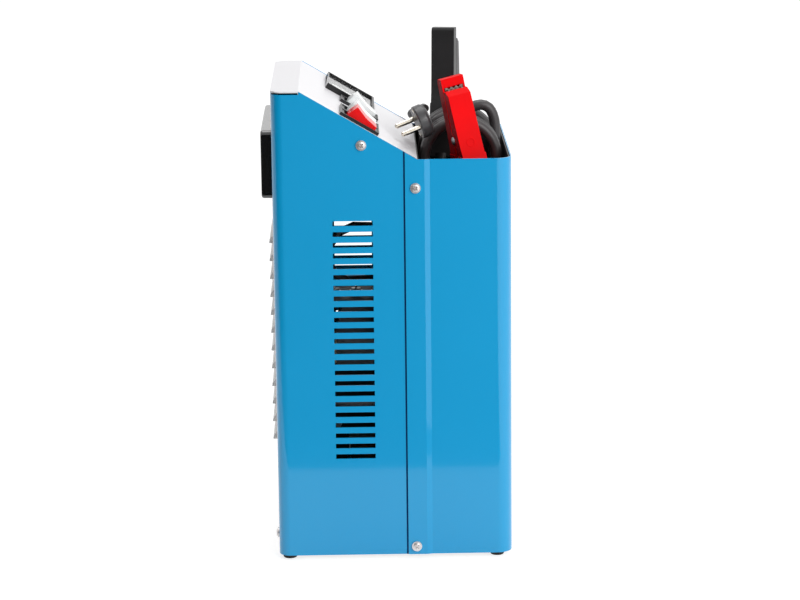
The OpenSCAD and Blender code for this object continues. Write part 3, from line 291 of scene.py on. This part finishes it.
# Places in millimetres. Each start runs from the bush to the first loop. The
# leads' ends are given from the clamp backwards, the mains cord's to the plug.
red_start = [(36.5, -0.9, 252), (38.5, -0.9, 252), (47, -0.9, 248.9), (58, -0.9, 244.5), (70, -1, 242.5),
             (83, -1, 245.1), (93, -1, 251.5), (100.5, -1, 261.5), (103.6, -1, 274), (103.7, -1, 288)]
red_end = [(80.4, -46.2, 317.2), (82, -43.2, 305), (84.6, -41.4, 292), (87.4, -41.2, 280), (88.4, -41.2, 268),
           (86, -41.2, 256.6), (79.4, -41.2, 248), (70, -41.2, 243.8), (60, -41.2, 244), (51, -41.2, 248),
           (43, -41.2, 255.7), (37.8, -41.2, 267), (36.7, -41.2, 280), (36.7, -41.2, 294)]
black_start = [(36.5, 10.3, 252), (38.5, 10.3, 252), (47, 10.2, 248.9), (58, 9.6, 244.5), (70, 9.3, 242.5),
               (83, 9.3, 245.1), (93, 9.3, 251.5), (100.5, 9.3, 261.5), (103.6, 9.3, 274), (103.7, 9.3, 288),
               (103.9, 9.4, 320), (104, 9.6, 352), (104.4, 9.9, 380), (103.4, 10.2, 396), (98.6, 10.4, 406.5),
               (91, 10.4, 409.6), (83, 10.4, 407.6), (76, 10.4, 403.8), (70.2, 10.4, 401.4)]
black_end = [(54.4, 46.8, 343.6), (53.7, 44.5, 333), (55, 45.6, 322), (59, 48.4, 310), (65, 50.4, 298),
             (71, 50.8, 286), (75, 50.8, 273), (74, 50.8, 260), (67, 50.8, 250), (57, 50.8, 246.5),
             (47.5, 50.8, 250), (40.5, 50.8, 259), (37.4, 50.8, 270), (36.7, 50.8, 282), (36.7, 50.8, 294)]
mains_start = [(50.4, 89.5, 252), (53, 89.5, 252), (60, 89.5, 250.2), (68, 89.5, 246), (77, 89.5, 243),
               (88, 89.5, 245), (96.5, 89.5, 252.5), (102, 89.5, 264), (104.2, 89.5, 277), (104.2, 89.5, 292)]
mains_end = [(52, 62, 344.2), (45.5, 63, 345.4), (39.8, 64.3, 349.3), (36, 65, 356.5), (34.3, 64.6, 366.5),
             (33.8, 61, 377), (33.9, 53, 385.8), (34.2, 42, 391.8), (34.5, 31, 396.6), (34.9, 21, 401),
             (35.4, 12, 405.4), (36, 4.6, 408.6), (37, -2.2, 409.8), (38.3, -9, 409.9)]
loop_x, loop_low = 70.2, 276
lead_r, lead_high = 33.5, 367.5
mains_r, mains_high = 34, 307

red_route = red_start + loops((-11.1, -21.1, -31.1), loop_x, lead_r, loop_low, lead_high, -10)
red_route += [(36.7, -34, 345), (36.7, -38.5, 318)] + red_end[::-1]

# The black lead's start goes over the top of its first loop, so that only the
# left side of that loop follows, and slants over to the loops' own place.
black_loops = loops((20.5, 30.5, 40.5), loop_x, lead_r, loop_low, lead_high, 10)
black_left = [(x, 11.5 + 1.5 * i, z) for i, (x, _, z) in enumerate(black_loops[7:13])]
black_route = black_start + black_left + black_loops[13:]
black_route += [(36.7, 43, 345), (36.7, 47, 318)] + black_end[::-1]

# The mains cord leaves its last loop just before the middle of its top.
mains_route = mains_start + loops((80.5, 73.5, 66.5, 59.5), loop_x, mains_r, loop_low - 1, mains_high, -7)[:-7]
mains_route += [(65, 60.6, 342.9)] + mains_end

red_lead, red_length = lead("red_lead_jacket", red_route, 0.010, lead_rubber, ("red_lead", "red_coil"))
black_lead, black_length = lead("black_lead_jacket", black_route, 0.010, lead_rubber, ("black_lead", "black_coil"))
mains_lead, mains_length = lead("mains_cord_jacket", mains_route, 0.007, mains_rubber, ("mains_cord", "mains_coil"))


# Case: folded steel sheet. The side panels and the front shell have a glossy
# blue powder coat, whose skin is a little uneven, and the folds are round.
def select(piece):
    """Makes this the only thing that an operator acts on."""
    if bpy.context.object and bpy.context.object.mode != "OBJECT":
        bpy.ops.object.mode_set(mode="OBJECT")
    bpy.ops.object.select_all(action="DESELECT")
    piece.select_set(True)
    bpy.context.view_layer.objects.active = piece


def apply_all(piece):
    """Applies what is on a piece."""
    select(piece)
    for change in list(piece.modifiers):
        bpy.ops.object.modifier_apply(modifier=change.name)


def rounded(piece, width):
    """Rounds a piece's sharp edges, as a fold, a moulding or a deburred cut has them."""
    turn = piece.modifiers.new("edge", "BEVEL")
    turn.width = width
    turn.segments = 2
    turn.limit_method = "ANGLE"
    turn.angle_limit = math.radians(32)
    apply_all(piece)


def eased(node, width, material, body=charger, bend=30, cut=None):
    """A rounded copy of a CAD node, smooth over turns of less than bend degrees and divided at x = cut."""
    piece = bpy.data.objects.new(node + "_finished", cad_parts[node].data.copy())
    bpy.context.scene.collection.objects.link(piece)
    select(piece)
    bpy.ops.mesh.customdata_custom_splitnormals_clear()
    bpy.ops.object.mode_set(mode="EDIT")
    bpy.ops.mesh.select_all(action="SELECT")
    bpy.ops.mesh.remove_doubles(threshold=2e-6)
    bpy.ops.mesh.dissolve_limited(angle_limit=math.radians(0.6))
    bpy.ops.object.mode_set(mode="OBJECT")
    rounded(piece, width)
    if cut:
        bpy.ops.object.mode_set(mode="EDIT")
        bpy.ops.mesh.select_all(action="SELECT")
        bpy.ops.mesh.bisect(plane_co=(cut, 0, 0), plane_no=(1, 0, 0))
        bpy.ops.object.mode_set(mode="OBJECT")
    bpy.ops.object.shade_smooth_by_angle(angle=math.radians(bend))
    flat = piece.modifiers.new("flat", "WEIGHTED_NORMAL")
    flat.weight = 100
    flat.keep_sharp = True
    apply_all(piece)
    piece.data.materials.clear()
    piece.data.materials.append(material)
    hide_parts(node)
    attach(piece, body)
    return piece


sheet_edge = 0.0004
joint_x = 0.0152
blue_coat = finish("blue_powder_coat", linear(0, 165, 223), 0.3, cloud=(5, 0.012), grain=(420, 0.02),
                   Specular_IOR_Level=0.25, Coat_Weight=0.8, Coat_Roughness=0.07)
# Painted shade: the dark colour of the gap where the shell laps over a side panel.
joint_shade = finish("joint_shade", linear(0, 52, 100), 0.6, cloud=(5, 0.05), grain=(420, 0.02),
                     Specular_IOR_Level=0.1)

# The joggle in the shell's flanges is a bend of 13.5 degrees, and stays a clear line.
eased("front_shell", sheet_edge, blue_coat, bend=12.5)

# Where the shell's flange laps over a side panel, a strip of the panel is painted dark: painted shade for the gap of
# the joint.
for node in ("side_panel_left", "side_panel_right"):
    piece = eased(node, sheet_edge, blue_coat, cut=joint_x)
    piece.data.materials.append(joint_shade)
    for face in piece.data.polygons:
        if face.center.x > joint_x:
            face.material_index = 1

# Top, rear panel and base pan: the same sheet with a white powder coat, a little greyer on the rear panel as painted
# shade.
# The top laps over the sides, and the louvres of the rear panel are pressed outwards.
white_coat = finish("white_powder_coat", linear(240, 239, 242), 0.32, cloud=(6, 0.01), grain=(500, 0.03))
rear_coat_painted_shade = finish("white_powder_coat_painted_shade", linear(230, 228, 227), 0.36, cloud=(6, 0.02), grain=(500, 0.03))


def dress(material, *nodes):
    """Gives CAD nodes their finish."""
    for node in nodes:
        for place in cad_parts[node].material_slots:
            place.material = material


eased("top_panel", sheet_edge, white_coat)
eased("rear_panel", sheet_edge, rear_coat_painted_shade)
dress(white_coat, "base_pan")

# Cable bin: a black coated tray folded from one sheet, which fills the front
# shell; the cords' bushes sit in its back wall.
black_coat = finish("black_powder_coat", linear(20, 20, 22), 0.42, cloud=(8, 0.05), grain=(1200, 0.06))
eased("cable_bin", sheet_edge, black_coat)

# Rear grip: one black glossy moulding with a finger pocket, held by two screws.
grip_plastic = finish("grip_moulding", linear(13, 13, 14), 0.2, cloud=(20, 0.08), grain=(1500, 0.05),
                      Specular_IOR_Level=0.8, Coat_Weight=0.5, Coat_Roughness=0.08)
eased("rear_grip", 0.0008, grip_plastic)

# Feet and bushes: black rubber, moulded. Each foot has its screw inside.
foot_rubber = finish("foot_rubber", linear(26, 26, 27), 0.75, cloud=(60, 0.12), grain=(1600, 0.3))
for node in ("foot_front_left", "foot_front_right", "foot_rear_left", "foot_rear_right", "mains_bush", "lead_bushes"):
    eased(node, 0.0004, foot_rubber)

# Screws: pan heads with a cross recess, nickel plated on the case and zinc
# plated underneath and inside.
nickel = finish("bright_nickel", linear(226, 220, 218), 0.3, cloud=(300, 0.1), grain=(3000, 0.1), metal=0.7)
zinc = finish("zinc_plate", linear(176, 180, 184), 0.33, cloud=(200, 0.14), grain=(2500, 0.2), metal=1.0)
for node in ("case_screws", "grip_screws"):
    eased(node, 0.0002, nickel)
dress(zinc, "foot_screws", "transformer_bolts", "transformer_clamps")

# Ammeter: black moulded frame, a white card dial, a needle on a spindle and a
# clear window that turns down over the upper end. It stands on the control
# slope, which falls 63 mm over 106.4 mm from the front edge of the flat top.
slant = math.atan2(63, 106.4)
run, rise = math.cos(slant), math.sin(slant)
slope_x, slope_z = -78.2, 441


def on_slope(u, y, n):
    """The frame of the control slope at a place on it, in millimetres: x to the user's right, y up the slope."""
    place = ((slope_x + u * run + n * rise) / 1000, y / 1000, (slope_z - u * rise + n * run) / 1000)
    return Matrix.Translation(place) @ Matrix(((0, -run, rise), (1, 0, 0), (0, rise, run))).to_4x4()


meter_black = finish("meter_moulding", linear(26, 26, 27), 0.3, cloud=(40, 0.06), grain=(2000, 0.05))
# The dial card glows a little: painted light that stands in for the light through the window.
dial_card = finish("dial_card", linear(244, 244, 240), 0.6, cloud=(50, 0.015), grain=(2500, 0.05),
                   Emission_Color=linear(250, 250, 246), Emission_Strength=0.3)
brass = finish("turned_brass", linear(190, 160, 90), 0.3, cloud=(300, 0.12), grain=(2500, 0.1), metal=1.0)
needle_paint = finish("needle_paint", linear(20, 20, 22), 0.4, cloud=(100, 0.1), grain=(3000, 0.05))
clear_plastic = finish("clear_plastic", (0.97, 0.98, 0.99, 1), 0.04, cloud=(20, 0.01), grain=(300, 0.004),
                       Transmission_Weight=1.0, IOR=1.25)
eased("meter_case", 0.0005, meter_black)
dress(dial_card, "meter_dial")
dress(brass, "meter_movement")
dress(needle_paint, "meter_needle")
window = eased("meter_lens", 0.0004, clear_plastic)

# The window stands a little higher than the solid, nearer the frame's rim. Only
# the foot of its upper end stays where it is, down on the panel.
slope = on_slope(0, 0, 0)
window_lift = slope.col[2].xyz * 0.0017
foot_top, foot_end = 0.0006, -0.0284
for corner in window.data.vertices:
    place = slope.inverted() @ corner.co
    if place.z > foot_top or place.y < foot_end:
        corner.co += window_lift

# Printed scale of the ammeter: long and short strokes and plain numbers in black
# ink on the card, round the needle's spindle.
swing = math.radians(80)


def strokes(name, count, near, far, width):
    """Strokes from end to end of the scale, between two distances from the spindle."""
    bpy.ops.mesh.primitive_plane_add(size=1, location=(0, 0, 0))
    row = bpy.context.object
    row.name = name
    bpy.ops.object.mode_set(mode="EDIT")
    bpy.ops.mesh.select_all(action="SELECT")
    bpy.ops.transform.resize(value=(width, far - near, 1), center_override=(0, 0, 0))
    bpy.ops.transform.translate(value=(0, (far + near) / 2, 0))
    bpy.ops.transform.rotate(value=-swing / 2, orient_axis="Z", center_override=(0, 0, 0))
    bpy.ops.mesh.spin(steps=count, dupli=True, angle=swing, center=(0, 0, 0), axis=(0, 0, 1))
    bpy.ops.object.mode_set(mode="OBJECT")
    return row


ink = finish("printing_ink", linear(24, 24, 26), 0.5, cloud=(120, 0.1), grain=(3000, 0.05))
prints = [strokes("scale_long", 6, 0.0228, 0.0272, 0.0006), strokes("scale_short", 30, 0.0252, 0.0272, 0.0003)]
number_height, number_out = 0.0048, 0.0293
for i, number in enumerate(("0", "10", "20", "30")):
    bpy.ops.object.text_add(location=(0, 0, 0))
    figure = bpy.context.object
    figure.data.body = number
    figure.data.size = number_height
    figure.data.align_x = figure.data.align_y = "CENTER"
    bpy.ops.object.convert(target="MESH")
    turned = swing * (0.5 - i / 3)
    figure.data.transform(Matrix.Rotation(turned, 4, "Z") @ Matrix.Translation((0, number_out, 0)))
    prints.append(figure)
bpy.ops.object.select_all(action="DESELECT")
for part in prints:
    part.select_set(True)
bpy.context.view_layer.objects.active = prints[0]
bpy.ops.object.join()
scale = bpy.context.object
scale.name = "dial_scale"
scale.data.transform(on_slope(64.5, 51.75, -4.74))
scale.data.materials.clear()
scale.data.materials.append(ink)
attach(scale, charger)

# Rocker switches: black bezels, and see-through rockers, one red and two clear.
switch_black = finish("switch_moulding", linear(34, 34, 36), 0.3, cloud=(40, 0.06), grain=(2000, 0.06))
# Both rocker finishes glow faintly: painted light that stands in for the light through the plastic.
rocker_red = finish("rocker_red", linear(236, 20, 24), 0.18, cloud=(60, 0.05), grain=(900, 0.02), IOR=1.49,
                    Transmission_Weight=0.25, Emission_Color=linear(255, 30, 30), Emission_Strength=0.12)
rocker_clear = finish("rocker_clear", linear(246, 249, 249), 0.16, cloud=(60, 0.03), grain=(900, 0.02), IOR=1.49,
                      Transmission_Weight=0.12, Emission_Color=linear(250, 252, 252), Emission_Strength=0.1)
switches = {"near": rocker_red, "middle": rocker_clear, "far": rocker_clear}
for spot in switches:
    eased("switch_body_" + spot, 0.0003, switch_black)
for spot, material in switches.items():
    eased("rocker_" + spot, 0.0006, material, spot + "_rocker")

# Transformer: a stack of varnished laminations, a white bobbin and two windings
# of enamelled wire. It stands on angles, under the bridge of the rectifier.
lamination = finish("varnished_laminations", linear(40, 39, 39), 0.42, cloud=(60, 0.15), grain=(900, 0.2),
                    lines=("Y", 0.001, 0.5, 0.5), metal=0.6)
bobbin_nylon = finish("bobbin_nylon", linear(150, 146, 134), 0.5, cloud=(30, 0.04), grain=(1500, 0.15))
thin_wire = finish("thin_wire", linear(186, 126, 52), 0.35, cloud=(100, 0.12), grain=(900, 0.2),
                   lines=("Z", 0.0014, 0.7, 0.6), metal=0.6)
thick_wire = finish("thick_wire", linear(176, 92, 50), 0.3, cloud=(80, 0.1), grain=(700, 0.2), metal=0.8)
dress(lamination, "transformer_core")
dress(bobbin_nylon, "transformer_bobbin")
dress(thin_wire, "primary_winding")
dress(thick_wire, "secondary_winding")

# Rectifier: four diodes pressed into a finned aluminium plate, which stands on
# insulating posts on a steel bridge with a dull dark coat.
# The aluminium is a dark grey, darker than the bare metal: painted shade for the dark inside of the case.
sink_metal = finish("extruded_aluminium", linear(92, 93, 95), 0.42, cloud=(40, 0.08), grain=(1500, 0.2),
                    lines=("Y", 0.0012, 0.2, 0.1), metal=0.9)
post_plastic = finish("post_plastic", linear(205, 190, 158), 0.55, cloud=(60, 0.06), grain=(1500, 0.2))
bridge_coat = finish("bridge_coat", linear(40, 40, 42), 0.6, cloud=(20, 0.1), grain=(900, 0.15))

# The rear ends of the sink's fins, below its plate, reach a little further back.
plate_z, middle_x, fin_reach = 0.2365, -0.04, 0.0072
sink = eased("heat_sink", 0.0003, sink_metal)
for corner in sink.data.vertices:
    if corner.co.z < plate_z and corner.co.x < middle_x:
        corner.co.x -= fin_reach
dress(nickel, "diodes")
dress(post_plastic, "sink_posts")
eased("rectifier_bridge", sheet_edge, bridge_coat)

# Stiffening web under the bridge's plate: a strip of the same sheet on edge,
# with a sunk face, between the plate and the core.
web_place = (0.004, 0, 0.1495)
web_size = (0.134, 0.0015, 0.0495)
bpy.ops.mesh.primitive_cube_add(size=1, location=web_place)
web = bpy.context.object
web.name = "bridge_web"
bpy.ops.object.mode_set(mode="EDIT")
bpy.ops.transform.resize(value=web_size, center_override=web_place)
bpy.ops.mesh.select_all(action="DESELECT")
bpy.ops.object.mode_set(mode="OBJECT")
for face in web.data.polygons:
    face.select = face.normal.y > 0.9
bpy.ops.object.mode_set(mode="EDIT")
bpy.ops.mesh.select_mode(type="FACE")
bpy.ops.mesh.inset(thickness=0.006)
bpy.ops.mesh.extrude_region_move(TRANSFORM_OT_translate={"value": (0, -0.0006, 0)})
bpy.ops.object.mode_set(mode="OBJECT")
bpy.ops.object.transform_apply(location=True, rotation=True, scale=True)
rounded(web, 0.0003)
web.data.materials.append(bridge_coat)
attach(web, charger)

# Terminal block and the lead inside the case.
terminal_white = finish("terminal_block", linear(236, 236, 230), 0.4, cloud=(60, 0.03), grain=(1500, 0.1))
dress(terminal_white, "terminal_block")
dress(lead_rubber, "inner_leads")

# Mains plug: moulded rubber round two bright pins and two earth clips, with a
# ribbed sleeve where the cord goes in.
# The rubber's grey is lifted a little: partly its own colour, partly painted highlight.
plug_rubber = finish("plug_rubber", linear(66, 66, 68), 0.3, cloud=(50, 0.1), grain=(1800, 0.15))
plug = eased("plug_body", 0.0005, plug_rubber)
pin_nickel = finish("pin_nickel", linear(222, 214, 200), 0.14, cloud=(300, 0.1), grain=(3000, 0.06), metal=1.0)
plug_pins = eased("plug_contacts", 0.0002, pin_nickel)

# Clamps: two insulated half shells each, with toothed steel jaws inside, on one
# rivet with a torsion spring round it. Each clamp's own frame has its rivet at
# the middle and its jaws upwards.
clamp_red = finish("clamp_red", linear(246, 0, 8), 0.44, cloud=(40, 0.05), grain=(1400, 0.12),
                   Specular_IOR_Level=0.08)
# A deeper, duller red: painted shade for one side wall of the red shells.
clamp_red_painted_shade = finish("clamp_red_painted_shade", linear(158, 0, 14), 0.5, cloud=(40, 0.08), grain=(1400, 0.12),
                        Specular_IOR_Level=0.1)
clamp_black = finish("clamp_black", linear(34, 34, 35), 0.38, cloud=(40, 0.07), grain=(1400, 0.15))
shells = {"red": clamp_red, "black": clamp_black}
jaw_steel = finish("jaw_steel", linear(120, 112, 106), 0.34, cloud=(200, 0.15), grain=(2500, 0.2), metal=1.0)
spring_wire = finish("spring_wire", linear(120, 122, 126), 0.3, cloud=(300, 0.15), grain=(3000, 0.1), metal=1.0)
stands = {"red": Matrix.Translation((0.0724, -0.0685, 0.3913)) @ Matrix.Rotation(math.radians(1.2), 4, "X")
          @ Matrix.Rotation(math.radians(-11.4), 4, "Y") @ Matrix.Rotation(math.radians(18.3), 4, "Z"),
          "black": Matrix.Translation((0.0599, 0.0705, 0.418)) @ Matrix.Rotation(math.radians(-2), 4, "X")
          @ Matrix.Rotation(math.radians(166), 4, "Z")}
shell_end, end_drop = 0.0455, 0.003
on_clamp = {}
for colour, shell in shells.items():
    half = colour + "_clamp_half"
    on_clamp[colour] = [
        eased(colour + "_shell_fixed", 0.0007, shell),
        eased(colour + "_shell_moving", 0.0007, shell, half),
        eased(colour + "_jaw_fixed", 0.00015, jaw_steel),
        eased(colour + "_jaw_moving", 0.00015, jaw_steel, half),
        eased(colour + "_rivet", 0.0002, zinc),
    ]
    dress(spring_wire, colour + "_spring")
    on_clamp[colour].append(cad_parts[colour + "_spring"])
    # The end of the shorter half stays a little lower than its jaw, so that the teeth show.
    own_frame = stands[colour].inverted()
    for corner in on_clamp[colour][1].data.vertices:
        if (own_frame @ corner.co).z > shell_end:
            corner.co -= stands[colour].col[2].xyz * end_drop

# Moulded boss over the rivet on the outside of each half: a low disc with a
# sunk middle, the same on all four.
bpy.ops.object.select_all(action="DESELECT")
bpy.ops.mesh.primitive_cylinder_add(vertices=40, radius=0.0042, depth=0.0012, location=(0, 0, 0))
boss = bpy.context.object
boss.name = "clamp_boss"
for face in boss.data.polygons:
    face.select = face.normal.z > 0.9
bpy.ops.object.mode_set(mode="EDIT")
bpy.ops.mesh.select_mode(type="FACE")
bpy.ops.mesh.inset(thickness=0.0011)
bpy.ops.mesh.extrude_region_move(TRANSFORM_OT_translate={"value": (0, 0, -0.0005)})
bpy.ops.object.mode_set(mode="OBJECT")
rounded(boss, 0.0002)
bpy.ops.object.shade_smooth_by_angle(angle=math.radians(30))
boss_out, boss_drop, boss_lean = 0.0141, 0.002, 85.7
for colour, shell in shells.items():
    for side, body, half in ((1, charger, "_fixed"), (-1, colour + "_clamp_half", "_moving")):
        piece = bpy.data.objects.new(colour + "_boss" + half, boss.data.copy())
        bpy.context.scene.collection.objects.link(piece)
        piece.data.transform(stands[colour] @ Matrix.Translation((0, side * boss_out, -boss_drop))
                             @ Matrix.Rotation(math.radians(-boss_lean * side), 4, "X"))
        piece.data.materials.append(shell)
        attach(piece, body)
        on_clamp[colour].append(piece)
bpy.data.objects.remove(boss)

# The red shells' walls that face the clamp's own -x get a deeper, duller red: painted shade.
for piece in on_clamp["red"][:2]:
    piece.data.materials.append(clamp_red_painted_shade)
    for face in piece.data.polygons:
        if face.normal.dot(stands["red"].col[0].xyz) < -0.7:
            face.material_index = 1
